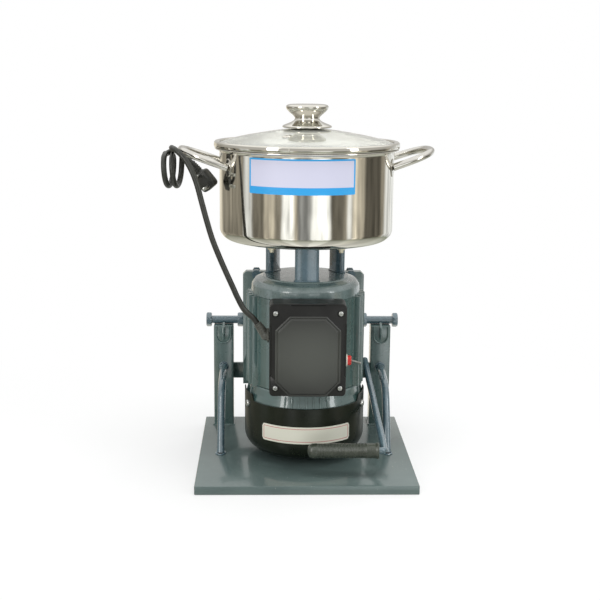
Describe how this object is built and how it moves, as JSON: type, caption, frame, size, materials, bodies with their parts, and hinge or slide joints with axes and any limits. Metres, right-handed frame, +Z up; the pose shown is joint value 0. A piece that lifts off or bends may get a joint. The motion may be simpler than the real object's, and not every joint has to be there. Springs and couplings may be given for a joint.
{
  "type": "garlic chili grinder",
  "caption": "Upright electric motor that carries a lidded steel pot with a chopping blade, and tips back on two bolts over a square base plate so that the pot empties.",
  "frame": {"origin": "on the floor under the middle of the square base plate", "axes": "+Z up, -Y towards the front with the terminal box, +X to the right as seen from the front"},
  "size_m": [0.3744, 0.3, 0.5071],
  "materials": {
    "steel_paint": "glossy blue-grey enamel",
    "dark_paint": "semi-gloss black enamel",
    "stainless_steel": "polished stainless steel",
    "zinc_plated_steel": "zinc plated",
    "core_iron": "bare laminated steel",
    "copper_winding": "varnished copper wire",
    "black_rubber": "satin black rubber",
    "black_plastic": "satin black moulded plastic",
    "red_plastic": "glossy red plastic",
    "clear_glass": "clear pressed glass"
  },
  "bodies": {
    "stand": {"base_plate": "steel_paint", "upright_left": "steel_paint", "upright_right": "steel_paint", "pivot_bolt_left": "steel_paint", "pivot_bolt_right": "steel_paint", "pivot_nut_left": "zinc_plated_steel", "pivot_nut_right": "zinc_plated_steel", "rear_cross_bar": "steel_paint", "brace_left": "steel_paint", "brace_right": "steel_paint"},
    "tilting_unit": {"tilt_bracket": "steel_paint", "motor_housing": "steel_paint", "foot_bolt_1": "zinc_plated_steel", "foot_bolt_2": "zinc_plated_steel", "foot_bolt_3": "zinc_plated_steel", "foot_bolt_4": "zinc_plated_steel", "upper_end_shield": "steel_paint", "lower_end_shield": "steel_paint", "upper_bearing": "core_iron", "lower_bearing": "core_iron", "stator_core": "core_iron", "stator_winding": "copper_winding", "fan_cowl": "dark_paint", "cowl_screw_left": "zinc_plated_steel", "cowl_screw_right": "zinc_plated_steel", "terminal_box": "black_plastic", "terminal_box_cover": "black_plastic", "cover_screw_1": "zinc_plated_steel", "cover_screw_2": "zinc_plated_steel", "cover_screw_3": "zinc_plated_steel", "cover_screw_4": "zinc_plated_steel", "run_capacitor": "black_plastic", "switch_body": "red_plastic", "cable_gland": "black_rubber", "tilt_lever": "steel_paint", "lever_grip": "black_rubber", "post_front": "steel_paint", "post_right": "steel_paint", "post_left": "steel_paint", "pot_mount_plate": "steel_paint", "pot_bolt_1": "zinc_plated_steel", "pot_bolt_2": "zinc_plated_steel", "pot_bolt_3": "zinc_plated_steel", "pot_body": "stainless_steel", "pot_handle_right": "stainless_steel", "pot_handle_left": "stainless_steel", "shaft_seal": "black_rubber", "power_cord_run": "black_rubber", "power_cord_coil": "black_rubber", "power_cord_tail": "black_rubber", "power_plug": "black_rubber"},
    "rotor": {"rotor_core": "core_iron", "motor_shaft": "stainless_steel", "cooling_fan": "black_plastic", "chopping_blade": "stainless_steel", "blade_nut": "stainless_steel"},
    "lid": {"lid_rim": "stainless_steel", "lid_glass": "clear_glass", "lid_knob": "stainless_steel"},
    "switch_toggle": {"switch_lever": "stainless_steel"}
  },
  "joints": [
    {"name": "tilt", "type": "hinge", "parent": "stand", "child": "tilting_unit", "pos_m": [0, 0.123, 0.1763], "axis": [-1, 0, 0], "range_deg": [0, 100]},
    {"name": "rotor_spin", "type": "hinge", "parent": "tilting_unit", "child": "rotor", "pos_m": [0, 0, 0.2], "axis": [0, 0, 1], "continuous": true},
    {"name": "lid_lift", "type": "slide", "parent": "tilting_unit", "child": "lid", "axis": [0, 0, 1], "range_m": [0, 0.15]},
    {"name": "switch_throw", "type": "hinge", "parent": "tilting_unit", "child": "switch_toggle", "pos_m": [0.059, -0.0973, 0.171], "axis": [0, -1, 0], "range_deg": [0, 36]}
  ]
}
